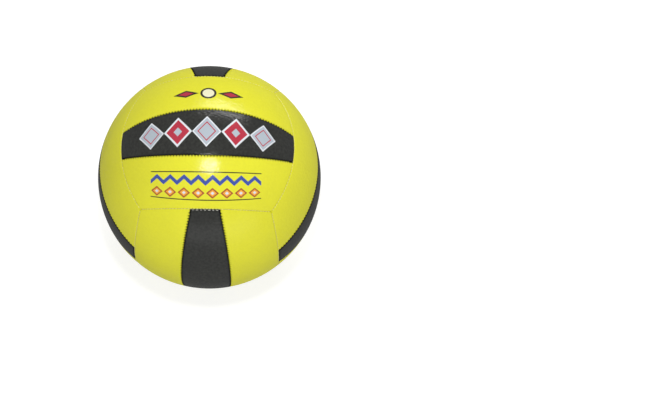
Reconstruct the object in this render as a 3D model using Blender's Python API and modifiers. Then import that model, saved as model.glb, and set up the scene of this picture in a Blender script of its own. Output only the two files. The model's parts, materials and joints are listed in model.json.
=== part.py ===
"""A sewn training volleyball: cover panels with foam backings, a rubber bladder and a needle valve.

Six square faces of three strips each cover the ball, and the strips of neighbouring faces run at right
angles. Metres, +Z up, origin at the ball's centre. The ball lies on the middle strip of its bottom face.

Each face is modelled in a frame of its own, with the ball's centre as origin: X along the strips, Y across
them and Z outwards through the middle of the face. Every seam lies in a plane. A seam plane is written as
an edge, (tilt, lean): the plane leans by lean from one through the ball's centre that is tilted by tilt
from the face's Z axis, and it crosses the face's middle line at the angle tilt + lean.
"""

import math

import bmesh
import bpy
from mathutils import Matrix, Vector

MM = 0.001
DEGREE = math.pi / 180

# Cover: the ball's size, the seam layout as angles at the ball's centre, and the layers of a panel.
BALL_DIAMETER = 210 * MM
STRIP_LENGTH = 100 * DEGREE
MIDDLE_STRIP_WIDTH = 25.9 * DEGREE
MIDDLE_STRIP_END_WIDTH = 15 * DEGREE
SKIN_THICKNESS = 1.0 * MM
FOAM_THICKNESS = 2.5 * MM

# Seams: two turned-in hems with a gap between them, at the bottom of a groove that holds the thread.
SEAM_GAP = 0.5 * MM
GROOVE_DEPTH = 1.6 * MM
GROOVE_HALF_WIDTH = 2.4 * MM
SEAM_ALLOWANCE = 2.4 * MM
THREAD_DIAMETER = 0.6 * MM
THREAD_DEPTH = 0.75 * MM
THREAD_END_TRIM = 1.2 * MM

# Bladder and valve.
BLADDER_WALL = 1.0 * MM
VALVE_COLLAR_DIAMETER = 8.0 * MM
VALVE_COLLAR_RECESS = 0.4 * MM
VALVE_FLANGE_DIAMETER = 20.0 * MM
VALVE_STEM_DIAMETER = 10.0 * MM
VALVE_STEM_LENGTH = 14.0 * MM
VALVE_STEM_CHAMFER = 0.8 * MM
VALVE_BORE_DIAMETER = 5.2 * MM
PLUG_HEAD_DIAMETER = 6.2 * MM
PLUG_HEAD_THICKNESS = 1.0 * MM
PLUG_LENGTH = 15.0 * MM
PLUG_TIP_DIAMETER = 2.4 * MM
PLUG_TAPER_LENGTH = 4.0 * MM
NEEDLE_HOLE_DIAMETER = 1.8 * MM
NEEDLE_HOLE_DEPTH = 11.0 * MM
NEEDLE_COUNTERSINK_DIAMETER = 3.2 * MM
NEEDLE_COUNTERSINK_DEPTH = 0.8 * MM
PATCH_DIAMETER = 22.0 * MM
PATCH_THICKNESS = 0.6 * MM

# Clearance between pieces that touch on the real ball, and the distance at which mesh points become one.
FIT = 0.3 * MM
MERGE = 0.001 * MM

# Facets.
CELLS_ALONG = 9
CELLS_ACROSS = 3
TURNED_STEPS = 20
BLADDER_STEPS = 24
SMOOTH_ANGLE = 30 * DEGREE

# Each face's outward normal, its strip direction, and its strips from low to high across it.
FACES = {
    "top": ((0, 0, 1), (1, 0, 0), ("front", "middle", "rear")),
    "bottom": ((0, 0, -1), (1, 0, 0), ("rear", "middle", "front")),
    "front": ((0, -1, 0), (0, 0, 1), ("right", "middle", "left")),
    "back": ((0, 1, 0), (0, 0, 1), ("left", "middle", "right")),
    "left": ((-1, 0, 0), (0, 1, 0), ("upper", "middle", "lower")),
    "right": ((1, 0, 0), (0, 1, 0), ("lower", "middle", "upper")),
}
VALVE_FACE = "back"
VALVE_STRIP = "left"

# Colours, roughness.
YELLOW_SKIN = ((0.78, 0.76, 0.035), 0.42)
CHARCOAL_SKIN = ((0.035, 0.036, 0.034), 0.46)
FOAM = ((0.80, 0.78, 0.70), 0.95)
BUTYL_RUBBER = ((0.020, 0.020, 0.021), 0.60)
VALVE_RUBBER = ((0.030, 0.030, 0.032), 0.50)
PATCH_CLOTH = ((0.62, 0.60, 0.54), 0.90)
SEWING_THREAD = ((0.72, 0.70, 0.62), 0.80)

BALL_RADIUS = BALL_DIAMETER / 2
ALONG, ACROSS, OUTWARD = Vector((1, 0, 0)), Vector((0, 1, 0)), Vector((0, 0, 1))


# Seam layout.


def mirrored(edge):
    """The same edge on the other side of the face's middle."""
    return -edge[0], -edge[1]


def between(low, high, share):
    return tuple(a + (b - a) * share for a, b in zip(low, high))


def angle_of(edge):
    """Where an edge crosses the face's middle line, as an angle at the ball's centre."""
    return edge[0] + edge[1]


def edge_through(offset_a, height_a, offset_b, height_b):
    """The edge whose plane holds two points of the unit ball, each as its offset across and its height."""
    tilt = math.atan2(offset_b - offset_a, height_b - height_a)
    return tilt, math.asin(offset_a * math.cos(tilt) - height_a * math.sin(tilt))


def long_side_edge():
    """A face's side along its strips: through two corners of a cube, past the neighbour's strip ends."""
    corner = 1 / math.sqrt(3)
    half_length = STRIP_LENGTH / 2
    return edge_through(corner, corner, math.cos(half_length), math.sin(half_length))


def strip_end_edge():
    """The side of a face at its strip ends, which is the neighbouring face's long side."""
    tilt, lean = long_side_edge()
    return math.pi / 2 - tilt, -lean


def strip_seam_edge():
    """The seam beside the middle strip, through that strip's width at its middle and at its end."""
    tilt, lean = strip_end_edge()
    end_offset = math.sin(MIDDLE_STRIP_END_WIDTH / 2)
    reach = math.sqrt(1 - end_offset**2)
    end_height = reach * math.cos(tilt + math.asin(math.sin(lean) / reach))
    half_width = MIDDLE_STRIP_WIDTH / 2
    return edge_through(end_offset, end_height, math.sin(half_width), math.cos(half_width))


LONG_SIDE = long_side_edge()
STRIP_END = strip_end_edge()
STRIP_SEAM = strip_seam_edge()
VALVE_ANGLE = (angle_of(STRIP_SEAM) + angle_of(LONG_SIDE)) / 2


def plane_of(axis, edge, inset):
    """An edge's plane as (unit normal, distance), moved by inset along the surface towards the axis."""
    tilt, lean = edge
    normal = axis * math.cos(tilt) - OUTWARD * math.sin(tilt)
    return normal, math.sin(lean) + inset / BALL_RADIUS * math.cos(lean)


def crossing(along_edge, along_inset, across_edge, across_inset):
    """The point of the unit ball, on the face's side, where two seam planes cross."""
    normal_a, distance_a = plane_of(ALONG, along_edge, along_inset)
    normal_b, distance_b = plane_of(ACROSS, across_edge, across_inset)
    shared = normal_a.dot(normal_b)
    foot = (distance_a - distance_b * shared) * normal_a + (distance_b - distance_a * shared) * normal_b
    foot /= 1 - shared**2
    line = normal_a.cross(normal_b)
    return foot + line * math.sqrt((1 - foot.length_squared) / line.length_squared)


def face_turn(face):
    """The rotation from a face's own frame to the ball's."""
    normal, along, _ = FACES[face]
    normal, along = Vector(normal), Vector(along)
    return Matrix((along, normal.cross(along), normal)).transposed()


def strip_turn(face, side):
    """As face_turn, for a strip modelled on the high side: on the low side it is turned by half a turn."""
    half_turn = Matrix.Rotation(math.pi, 3, "Z") if side < 0 else Matrix.Identity(3)
    return face_turn(face) @ half_turn


# Objects and materials.


def material(name, finish):
    colour, roughness = finish
    made = bpy.data.materials.new(name)
    made.use_nodes = True
    shader = made.node_tree.nodes["Principled BSDF"]
    shader.inputs["Base Color"].default_value = (*colour, 1.0)
    shader.inputs["Roughness"].default_value = roughness
    shader.inputs["Metallic"].default_value = 0.0
    return made


def add_object(name, mesh, collection, parent, turn):
    made = bpy.data.objects.new(name, mesh)
    collection.objects.link(made)
    made.parent = parent
    made.rotation_euler = turn.to_euler()
    return made


def evaluated_mesh(piece, name):
    bpy.context.view_layer.update()
    graph = bpy.context.evaluated_depsgraph_get()
    mesh = bpy.data.meshes.new_from_object(piece.evaluated_get(graph))
    mesh.name = name
    return mesh


# Cover panels and their foam backings.


def facet_sag():
    """How far a flat facet of the cover dips below the round surface through its corners."""
    half_along = STRIP_LENGTH / CELLS_ALONG / 2
    side_strip_width = angle_of(LONG_SIDE) - angle_of(STRIP_SEAM)
    half_across = max(MIDDLE_STRIP_WIDTH, side_strip_width) / CELLS_ACROSS / 2
    return BALL_RADIUS * (1 - math.cos(math.hypot(half_along, half_across)))


def grid_lines(low, high, cells, border_inset, shoulder_inset):
    """The lines of a panel's grid from edge to edge, each as (edge, inset, whether it is the border)."""
    inner = [(between(low, high, i / cells), 0.0, False) for i in range(1, cells)]
    first = [(low, border_inset, True), (low, shoulder_inset, False)]
    last = [(high, -shoulder_inset, False), (high, -border_inset, True)]
    return first + inner + last


def panel_surface(low, high, depth):
    """One strip's surface at a depth below the cover, with its border let down into the seam grooves."""
    slope = math.atan2(GROOVE_DEPTH, GROOVE_HALF_WIDTH - SEAM_GAP / 2)
    border_inset = SEAM_GAP / 2 + depth
    border_depth = GROOVE_DEPTH + depth * math.tan(math.pi / 4 - slope / 2)
    shoulder_inset = GROOVE_HALF_WIDTH + depth * math.tan(slope / 2)
    columns = grid_lines(mirrored(STRIP_END), STRIP_END, CELLS_ALONG, border_inset, shoulder_inset)
    rows = grid_lines(low, high, CELLS_ACROSS, border_inset, shoulder_inset)
    surface = bmesh.new()
    last_column, last_row = len(columns) - 1, len(rows) - 1
    bmesh.ops.create_grid(surface, x_segments=last_column, y_segments=last_row, size=0.5)
    for vertex in surface.verts:
        column_edge, column_inset, at_end = columns[round((vertex.co.x + 0.5) * last_column)]
        row_edge, row_inset, at_side = rows[round((vertex.co.y + 0.5) * last_row)]
        radius = BALL_RADIUS - (border_depth if at_end or at_side else depth)
        vertex.co = crossing(column_edge, column_inset, row_edge, row_inset) * radius
    return surface


def mesh_from(surface, name, finish):
    mesh = bpy.data.meshes.new(name)
    surface.to_mesh(mesh)
    surface.free()
    mesh.shade_smooth()
    mesh.set_sharp_from_angle(angle=SMOOTH_ANGLE)
    mesh.materials.append(finish)
    return mesh


def skin_mesh(name, low, high, finish):
    """A panel's outer surface with its hem turned in towards the ball's centre."""
    surface = panel_surface(low, high, 0.0)
    rim = [edge for edge in surface.edges if edge.is_boundary]
    hem = bmesh.ops.extrude_edge_only(surface, edges=rim)["geom"]
    for vertex in (item for item in hem if isinstance(item, bmesh.types.BMVert)):
        vertex.co -= vertex.co.normalized() * SEAM_ALLOWANCE
    return mesh_from(surface, name, finish)


def foam_mesh(name, low, high, finish):
    """The outer surface of the foam that backs a panel inside its hem."""
    return mesh_from(panel_surface(low, high, SKIN_THICKNESS + FIT), name, finish)


def thicken(panel, thickness):
    solidify = panel.modifiers.new("thickness", "SOLIDIFY")
    solidify.thickness = thickness
    solidify.offset = -1.0
    solidify.use_even_offset = True


def add_panels(collection, parent):
    """The cover's strips and their foam backings. Strips of one shape and colour share a mesh."""
    middle = mirrored(STRIP_SEAM), STRIP_SEAM
    side = STRIP_SEAM, LONG_SIDE
    charcoal, yellow = material("charcoal_skin", CHARCOAL_SKIN), material("yellow_skin", YELLOW_SKIN)
    foam = material("backing_foam", FOAM)
    middle_meshes = skin_mesh("middle_skin", *middle, charcoal), foam_mesh("middle_foam", *middle, foam)
    side_meshes = skin_mesh("side_skin", *side, yellow), foam_mesh("side_foam", *side, foam)
    made = {}
    for face, (_, _, strips) in FACES.items():
        for position, strip in zip((-1, 0, 1), strips):
            skin_shape, foam_shape = side_meshes if position else middle_meshes
            turn = strip_turn(face, position)
            panel = add_object(f"{face}_{strip}_panel", skin_shape, collection, parent, turn)
            thicken(panel, SKIN_THICKNESS)
            backing = add_object(f"{face}_{strip}_foam", foam_shape, collection, parent, turn)
            thicken(backing, FOAM_THICKNESS)
            made[face, strip] = panel, backing
    return made


# Sewing thread.


def thread_run(points, collection):
    """A round thread along the points, as a closed mesh object."""
    curve = bpy.data.curves.new("thread_path", "CURVE")
    curve.dimensions = "3D"
    curve.bevel_depth = THREAD_DIAMETER / 2
    curve.bevel_resolution = 1
    curve.use_fill_caps = True
    spline = curve.splines.new("POLY")
    spline.points.add(len(points) - 1)
    for spline_point, point in zip(spline.points, points):
        spline_point.co = (*point, 1.0)
    path = bpy.data.objects.new("thread_path", curve)
    collection.objects.link(path)
    mesh = evaluated_mesh(path, "thread_run")
    bpy.data.objects.remove(path)
    welded = bmesh.new()
    welded.from_mesh(mesh)
    bmesh.ops.remove_doubles(welded, verts=welded.verts, dist=MERGE)
    welded.to_mesh(mesh)
    welded.free()
    run = bpy.data.objects.new("thread_run", mesh)
    collection.objects.link(run)
    return run


def thread_mesh(collection):
    """One face's sewing thread: its two strip seams and the seams at its strip ends, joined together."""
    radius = BALL_RADIUS - THREAD_DEPTH
    stations = [between(mirrored(STRIP_END), STRIP_END, i / CELLS_ALONG) for i in range(CELLS_ALONG + 1)]
    paths = []
    for seam in (STRIP_SEAM, mirrored(STRIP_SEAM)):
        paths.append([crossing(station, 0.0, seam, 0.0) * radius for station in stations])
    marks = [mirrored(LONG_SIDE), mirrored(STRIP_SEAM), STRIP_SEAM, LONG_SIDE]
    steps = [(a, b, i) for a, b in zip(marks, marks[1:]) for i in range(CELLS_ACROSS)]
    rows = [(between(a, b, i / CELLS_ACROSS), 0.0) for a, b, i in steps]
    rows[0] = (marks[0], THREAD_END_TRIM)
    rows.append((marks[-1], -THREAD_END_TRIM))
    for end in (STRIP_END, mirrored(STRIP_END)):
        paths.append([crossing(end, 0.0, row, inset) * radius for row, inset in rows])
    first, *others = [thread_run(points, collection) for points in paths]
    for other in others:
        join = first.modifiers.new("join", "BOOLEAN")
        join.operation = "UNION"
        join.object = other
    mesh = evaluated_mesh(first, "face_thread")
    for run in (first, *others):
        bpy.data.objects.remove(run)
    mesh.shade_smooth()
    return mesh


def add_threads(collection, parent):
    mesh = thread_mesh(collection)
    mesh.materials.append(material("sewing_thread", SEWING_THREAD))
    for face in FACES:
        add_object(f"{face}_seam_thread", mesh, collection, parent, face_turn(face))


# Pieces turned about the valve's axis. Their heights along it are measured from the ball's centre.


def valve_turn():
    """The rotation that takes Z to the valve's axis, through the middle of its panel."""
    side = FACES[VALVE_FACE][2].index(VALVE_STRIP) - 1
    return strip_turn(VALVE_FACE, side) @ Matrix.Rotation(-VALVE_ANGLE, 3, "X")


def turned(name, profile, closed, collection, parent, steps=TURNED_STEPS):
    """A piece turned about the valve's axis from (radius, height) points that run down its outer side."""
    outline = bmesh.new()
    corners = [outline.verts.new((radius, 0, height)) for radius, height in profile]
    for a, b in zip(corners, corners[1:]):
        outline.edges.new((a, b))
    if closed:
        outline.edges.new((corners[-1], corners[0]))
    mesh = bpy.data.meshes.new(name)
    outline.to_mesh(mesh)
    outline.free()
    made = add_object(name, mesh, collection, parent, valve_turn())
    screw = made.modifiers.new("turn", "SCREW")
    screw.axis = "Z"
    screw.steps = steps
    screw.render_steps = steps
    screw.use_merge_vertices = True
    screw.merge_threshold = MERGE
    return made


# Bladder.


def bladder_radius():
    """Outer radius of the bladder, which fills the cover up to the hems and the foam."""
    hem_depth = GROOVE_DEPTH + SEAM_ALLOWANCE
    foam_depth = SKIN_THICKNESS + FIT + FOAM_THICKNESS
    return BALL_RADIUS - max(hem_depth, foam_depth) - facet_sag() - FIT


def bladder_arc(radius):
    """(radius, height) points down one side of the bladder, from the hole for the valve to the far pole."""
    hole = VALVE_STEM_DIAMETER / 2 + FIT
    start = math.asin(hole / radius)
    cells = BLADDER_STEPS // 2
    angles = [start + (math.pi - start) * i / cells for i in range(cells)]
    return [(radius * math.sin(angle), radius * math.cos(angle)) for angle in angles] + [(0.0, -radius)]


def add_bladder(collection, parent):
    outside = bladder_arc(bladder_radius())
    inside = bladder_arc(bladder_radius() - BLADDER_WALL)
    bladder = turned("bladder", inside[::-1] + outside, False, collection, parent, BLADDER_STEPS)
    bladder.data.materials.append(material("butyl_rubber", BUTYL_RUBBER))


# Valve.


def cover_height():
    """Height of the cover's flat facet under the valve."""
    column = between(mirrored(STRIP_END), STRIP_END, (CELLS_ALONG // 2) / CELLS_ALONG)
    row = between(STRIP_SEAM, LONG_SIDE, (CELLS_ACROSS // 2) / CELLS_ACROSS)
    axis = Vector((0, math.sin(VALVE_ANGLE), math.cos(VALVE_ANGLE)))
    return crossing(column, 0.0, row, 0.0).dot(axis) * BALL_RADIUS


def collar_top():
    """Height of the valve's outer end, a little below the cover."""
    return cover_height() - VALVE_COLLAR_RECESS


def patch_top():
    """Height of the patch, whose rim clears the facets of the skin above it."""
    skin_inside = BALL_RADIUS - SKIN_THICKNESS - facet_sag()
    return math.sqrt(skin_inside**2 - (PATCH_DIAMETER / 2) ** 2) - FIT


def patch_profile():
    """The cloth ring between the skin and the housing's flange."""
    hole, rim = VALVE_COLLAR_DIAMETER / 2 + FIT, PATCH_DIAMETER / 2
    top, bottom = patch_top(), patch_top() - PATCH_THICKNESS
    return [(hole, top), (rim, top), (rim, bottom), (hole, bottom)]


def housing_profile():
    """The collar in the cover's hole, the flange under the patch and the stem through the bladder."""
    head_bore = PLUG_HEAD_DIAMETER / 2 + FIT
    collar, flange = VALVE_COLLAR_DIAMETER / 2, VALVE_FLANGE_DIAMETER / 2
    stem, bore = VALVE_STEM_DIAMETER / 2, VALVE_BORE_DIAMETER / 2
    top = collar_top()
    seat = top - PLUG_HEAD_THICKNESS - FIT
    flange_top = patch_top() - PATCH_THICKNESS - FIT
    flange_bottom = bladder_radius() + FIT
    stem_end = flange_bottom - VALVE_STEM_LENGTH
    return [
        (head_bore, top),
        (collar, top),
        (collar, flange_top),
        (flange, flange_top),
        (flange, flange_bottom),
        (stem, flange_bottom),
        (stem, stem_end + VALVE_STEM_CHAMFER),
        (stem - VALVE_STEM_CHAMFER, stem_end),
        (bore, stem_end),
        (bore, seat),
        (head_bore, seat),
    ]


def plug_profile():
    """From the bottom of the needle hole, over the head and down the shank to the tip."""
    needle, head = NEEDLE_HOLE_DIAMETER / 2, PLUG_HEAD_DIAMETER / 2
    shank = VALVE_BORE_DIAMETER / 2 - FIT
    top = collar_top()
    hole_end = top - NEEDLE_HOLE_DEPTH
    head_bottom = top - PLUG_HEAD_THICKNESS
    tip = top - PLUG_LENGTH
    return [
        (0.0, hole_end),
        (needle, hole_end),
        (needle, top - NEEDLE_COUNTERSINK_DEPTH),
        (NEEDLE_COUNTERSINK_DIAMETER / 2, top),
        (head, top),
        (head, head_bottom),
        (shank, head_bottom),
        (shank, tip + PLUG_TAPER_LENGTH),
        (PLUG_TIP_DIAMETER / 2, tip),
        (0.0, tip),
    ]


def add_valve(collection, parent):
    """The patch under the cover, the housing that the bladder carries, and the plug that seals it."""
    cloth, rubber = material("patch_cloth", PATCH_CLOTH), material("valve_rubber", VALVE_RUBBER)
    patch = turned("valve_patch", patch_profile(), True, collection, parent)
    patch.data.materials.append(cloth)
    housing = turned("valve_housing", housing_profile(), True, collection, parent)
    housing.data.materials.append(rubber)
    plug = turned("valve_plug", plug_profile(), False, collection, parent)
    plug.data.materials.append(rubber)


def open_cover(panel, backing, parent):
    """Cuts the collar's hole through the valve's panel, and a wider one for the patch through its foam."""
    cutters = bpy.data.collections.new("volleyball_cutters")
    bpy.context.scene.collection.children.link(cutters)
    top, bottom = BALL_RADIUS + GROOVE_DEPTH, bladder_radius()
    for piece, diameter in ((panel, VALVE_COLLAR_DIAMETER), (backing, PATCH_DIAMETER)):
        radius = diameter / 2 + FIT
        bar = [(0.0, top), (radius, top), (radius, bottom), (0.0, bottom)]
        cutter = turned(f"{piece.name}_hole", bar, False, cutters, parent)
        cutter.hide_render = True
        cutter.display_type = "WIRE"
        boolean = piece.modifiers.new("valve_hole", "BOOLEAN")
        boolean.operation = "DIFFERENCE"
        boolean.object = cutter


def clear_scene():
    for leftover in list(bpy.data.objects):
        bpy.data.objects.remove(leftover)


def main():
    clear_scene()
    collection = bpy.data.collections.new("volleyball")
    bpy.context.scene.collection.children.link(collection)
    centre = bpy.data.objects.new("ball_centre", None)
    collection.objects.link(centre)
    panels = add_panels(collection, centre)
    add_threads(collection, centre)
    add_bladder(collection, centre)
    add_valve(collection, centre)
    open_cover(*panels[VALVE_FACE, VALVE_STRIP], centre)


main()
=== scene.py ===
"""Looks of the sewn volleyball: its printed skins, stitches and valve, the floor and the light."""

import json
import math

import bmesh
import bpy
import numpy as np
from mathutils import Matrix, Vector


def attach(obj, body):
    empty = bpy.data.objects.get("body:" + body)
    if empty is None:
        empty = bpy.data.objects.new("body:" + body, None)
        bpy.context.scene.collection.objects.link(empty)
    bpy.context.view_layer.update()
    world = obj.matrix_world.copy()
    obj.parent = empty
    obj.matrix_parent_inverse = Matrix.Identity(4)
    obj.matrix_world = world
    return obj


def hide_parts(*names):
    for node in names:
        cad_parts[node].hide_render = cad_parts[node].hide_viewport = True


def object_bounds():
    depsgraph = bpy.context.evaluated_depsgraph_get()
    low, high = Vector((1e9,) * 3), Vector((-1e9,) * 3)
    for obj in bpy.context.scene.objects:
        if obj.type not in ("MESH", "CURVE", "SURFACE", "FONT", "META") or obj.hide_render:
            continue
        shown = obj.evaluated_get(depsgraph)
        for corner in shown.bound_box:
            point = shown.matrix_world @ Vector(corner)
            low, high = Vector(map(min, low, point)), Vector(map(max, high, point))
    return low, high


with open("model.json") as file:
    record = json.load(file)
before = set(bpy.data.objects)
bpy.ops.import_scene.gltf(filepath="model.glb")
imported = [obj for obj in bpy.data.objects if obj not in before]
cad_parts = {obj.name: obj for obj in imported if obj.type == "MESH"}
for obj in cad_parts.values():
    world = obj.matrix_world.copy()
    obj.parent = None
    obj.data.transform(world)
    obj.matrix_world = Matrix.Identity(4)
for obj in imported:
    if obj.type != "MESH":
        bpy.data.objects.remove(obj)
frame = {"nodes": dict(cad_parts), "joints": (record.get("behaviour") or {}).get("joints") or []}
CAD_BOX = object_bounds()

MM = 0.001
DEGREE = math.pi / 180

# The ball and its seam layout, as in the solids.
BALL_RADIUS = 105 * MM
STRIP_LENGTH = 100 * DEGREE
MIDDLE_STRIP_WIDTH = 25.9 * DEGREE
MIDDLE_STRIP_END_WIDTH = 15 * DEGREE

# Each face's outward normal, its strip direction, and its strips from low to high across it.
FACES = {
    "top": ((0, 0, 1), (1, 0, 0), ("front", "middle", "rear")),
    "bottom": ((0, 0, -1), (1, 0, 0), ("rear", "middle", "front")),
    "front": ((0, -1, 0), (0, 0, 1), ("right", "middle", "left")),
    "back": ((0, 1, 0), (0, 0, 1), ("left", "middle", "right")),
    "left": ((-1, 0, 0), (0, 1, 0), ("upper", "middle", "lower")),
    "right": ((1, 0, 0), (0, 1, 0), ("lower", "middle", "upper")),
}

# Panel edges: half the gap of a seam, the rounded edge beside it, and the hem that is turned in.
SEAM_HALF_GAP = 0.12 * MM
EDGE_WIDTH = 1.3 * MM
EDGE_DROP = 0.6 * MM
EDGE_ROUNDNESS = 0.98
HEM_DEPTH = 2.2 * MM

# Stitch holes. Their spacing is a little coarser than the real one, so that it shows. Each hole
# pulls the edges in as a pucker, and MEAN_PULL is the mean of its pull along the seam.
STITCH_PITCH = 2.9 * MM
PUCKER_DEPTH = 0.16 * MM
PUCKER_REACH = 0.9 * MM
MEAN_PULL = 0.375

# Teeth: at each hole the edge of a charcoal strip reaches into the yellow. They die out within
# their reach from the seam and fade near its ends. The charcoal keeps back from the wavy line.
TOOTH_LENGTH = 1.8 * MM
TOOTH_REACH = 2.0 * MM
TOOTH_FADE = 3.0 * MM
CHARCOAL_SET_BACK = 0.3 * MM

# Painted shade in the seams: how far it reaches along the whole groove, and around each stitch
# hole.
PAINTED_GROOVE_SHADE_REACH = 1.3 * MM
PAINTED_HOLE_SHADE_REACH = 0.7 * MM

# Mesh lines of a panel: those beside an edge by their distance from the seam, and the spacing of
# the rest.
EDGE_LINES = [SEAM_HALF_GAP, 0.25 * MM, 0.42 * MM, 0.65 * MM, 1.0 * MM, 1.5 * MM, 2.1 * MM]
LINE_SPACING = 0.5 * MM

# Thread: its size, the part of each stitch that shows, its bow as (place, thickness, dip) from
# end to end, and how deep it lies in the two kinds of seam. The waves, as (share, radians from
# stitch to stitch), leave no two stitches at the same depth.
THREAD_RADIUS = 0.24 * MM
THREAD_SIDES = 6
STITCH_SHARE = 0.72
STITCH_DIP = 0.45 * MM
STITCH_BOW = [(-1, 0.5, 1), (-0.7, 1, 0.3), (0, 1.1, 0), (0.7, 1, 0.3), (1, 0.5, 1)]
STRIP_SEAM_THREAD_DEPTH = 0.85 * MM
STRIP_END_THREAD_DEPTH = 0.3 * MM
DEPTH_WAVES = [(0.12, 2.4), (0.08, 5.3)]

# Closing stitches, sewn by hand from outside through the end of the front charcoal strip. Their
# lengths are in seam stitches and vary by a wave as above.
CLOSING_STITCHES = 7
CLOSING_PITCH = 3.7 * MM
CLOSING_INSET = 1.0 * MM
CLOSING_DEPTH = 0.05 * MM
CLOSING_LENGTH = 1.25
CLOSING_LENGTH_WAVE = (0.25, 4.1)

# Dyes of the thread, as places on its scale of colours. The thread in the strip seams is real, but
# its pure black is painted shade that fills their gaps.
BLACK_SHADE_DYE, STRAW_DYE, WHITE_DYE = 0.0, 0.5, 1.0
THREAD_COLOURS = {BLACK_SHADE_DYE: "#000000", STRAW_DYE: "#f0eaa2", WHITE_DYE: "#f6f4ea"}

# Valve: the dimple and the hole in its panel, and its rubber pieces, as in the solids but with a
# closer fit, ribs and softened edges. A rib's shape is (height, place along the shank), in rib
# heights. Edges sharper than SOFTENED_ANGLE are softened, and the rest of a piece shades smooth
# where it turns by less than SMOOTH_ANGLE.
VALVE_PANEL = ("back", "left")
VALVE_AXIS = Vector(frame["joints"][0]["axis"]).normalized()
VALVE_HOLE_RADIUS = 4.3 * MM
VALVE_HOLE_WALL = 1.2 * MM
DIMPLE_DEPTH = 0.35 * MM
DIMPLE_REACH = 2.2 * MM
COLLAR_RADIUS = 4.15 * MM
COLLAR_RECESS = 0.25 * MM
FLANGE_RADIUS = 10 * MM
FLANGE_THICKNESS = 1.2 * MM
STEM_RADIUS = 5 * MM
STEM_CHAMFER = 0.8 * MM
BORE_RADIUS = 2.6 * MM
PLUG_HEAD_RADIUS = 3.1 * MM
PLUG_HEAD_THICKNESS = 1.2 * MM
PLUG_RECESS = 0.2 * MM
PLUG_TIP_RADIUS = 1.2 * MM
PLUG_TAPER = 4 * MM
PLUG_RIBS = 4
PLUG_RIB_SPACING = 1.6 * MM
PLUG_RIB_HEIGHT = 0.15 * MM
PLUG_RIB_SHAPE = [(0, 2), (1, 1), (1, -1), (0, -2)]
NEEDLE_HOLE_RADIUS = 0.9 * MM
NEEDLE_HOLE_DEPTH = 11 * MM
COUNTERSINK_RADIUS = 1.8 * MM
COUNTERSINK_DEPTH = 0.9 * MM
RIM_CHAMFER = 0.3 * MM
RUBBER_FIT = 0.25 * MM
RUBBER_EDGE = 0.12 * MM
RUBBER_EDGE_SEGMENTS = 2
SOFTENED_ANGLE = 35 * DEGREE
SMOOTH_ANGLE = 40 * DEGREE
TURNED_SIDES = 48

# Prints on the top face, in millimetres over the ball.
LOZENGE_PITCH = 27
LOZENGE_HALF_HEIGHT = 15.5
BORDER_CENTRE = -52
BORDER_HALF_LENGTH = 53
BORDER_HALF_HEIGHT = 13
BORDER_PITCH = 13.25
ZIGZAG_BASE = 2.5
ZIGZAG_HEIGHT = 6
ZIGZAG_HALF_WIDTH = 2.2
RULE_HALF_WIDTH = 0.5
SMALL_LOZENGE_PLACE = -6.5
SMALL_LOZENGE_HALF_HEIGHT = 5
SMALL_LOZENGE_SHARE = 0.9
SLIM_LOZENGE_PLACE = 21
SLIM_LOZENGE_HALF_LENGTH = 12
SLIM_LOZENGE_HALF_HEIGHT = 5
DISC_CENTRE = 44
DISC_RADIUS = 7.5

# Inks, and each motif's bands of ink from its middle out, with their outer limits.
SILVER_INK = "#b2bcc6"
PALE_INK = "#dfe3e8"
RED_INK = "#b52f42"
DARK_RED_INK = "#a3402c"
ORANGE_INK = "#f0a83c"
BLUE_INK = "#3b50a4"
CREAM_INK = "#efebc8"
DARK_INK = "#2a281c"
SILVER_LOZENGE = [(0.55, SILVER_INK), (0.64, RED_INK), (0.88, SILVER_INK), (1, PALE_INK)]
RED_LOZENGE = [(0.3, SILVER_INK), (0.82, RED_INK), (1, PALE_INK)]
SMALL_LOZENGE = [(0.32, PALE_INK), (0.7, ORANGE_INK), (1, DARK_RED_INK)]
SLIM_LOZENGE = [(0.6, RED_INK), (1, DARK_INK)]
DISC = [(0.72, CREAM_INK), (1, DARK_INK)]
ZIGZAG = [(1, BLUE_INK)]
RULE = [(1, DARK_INK)]

# Leather: the pebbles and creases of its grain, coarser than the real ones so that they show, the
# clouds and rubbed spots of its colour, and its lacquer. A lacquer's index is nearer 1.5. The
# high one with a low weight gives an even gloss that keeps the ball's rim dark.
PEBBLE_WIDTH = 2.2 * MM
CREASE_WIDTH = 0.6 * MM
CREASE_SHARE = 0.25
GRAIN_DEPTH = 0.14 * MM
CLOUD_WIDTH = 30 * MM
SPOT_WIDTH = 2.4 * MM
SPOT_RANGE = (0.3, 0.7)
LACQUER_WEIGHT = 0.12
LACQUER_IOR = 2.6
LACQUER_ROUGHNESS = 0.15

# The two leathers: their colour and its faded tone, how much their rubbed spots differ, the colour
# of the shade painted in their seams and how strongly it is painted in the groove and round the
# holes, and whether the lacquer is worn off their edges.
CHARCOAL = {
    "colour": "#1f201d",
    "faded": "#282925",
    "rubbed": 0.34,
    "painted_shade_colour": "#060606",
    "painted_seam_shades": {"painted_groove_shade": 0.9, "painted_hole_shade": 0.6},
    "worn_edges": True,
}
YELLOW = {
    "colour": "#e9e62c",
    "faded": "#e0dd30",
    "rubbed": 0.02,
    "painted_shade_colour": "#4a4418",
    "painted_seam_shades": {"painted_groove_shade": 0.03, "painted_hole_shade": 0.14},
    "worn_edges": False,
}

# Plies of the thread, about three times as wide as real ones so that they show, and how dark the
# painted shade between them is.
PLY_WIDTH = 2.2 * MM
PLY_RELIEF = 0.05 * MM
PAINTED_PLY_SHADE = 0.75

# Cells of the foam and threads of the cloth, with the darker and the lighter of their colours. The
# darker one is painted shade in the foam's pits and between the cloth's raised threads.
FOAM_CELL = 1.0 * MM
FOAM_RELIEF = 0.3 * MM
FOAM_COLOURS = ("#b8ab86", "#efe6cb")
CLOTH_THREAD = 0.8 * MM
CLOTH_RELIEF = 0.2 * MM
CLOTH_COLOURS = ("#9d9683", "#d9d3c0")

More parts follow.
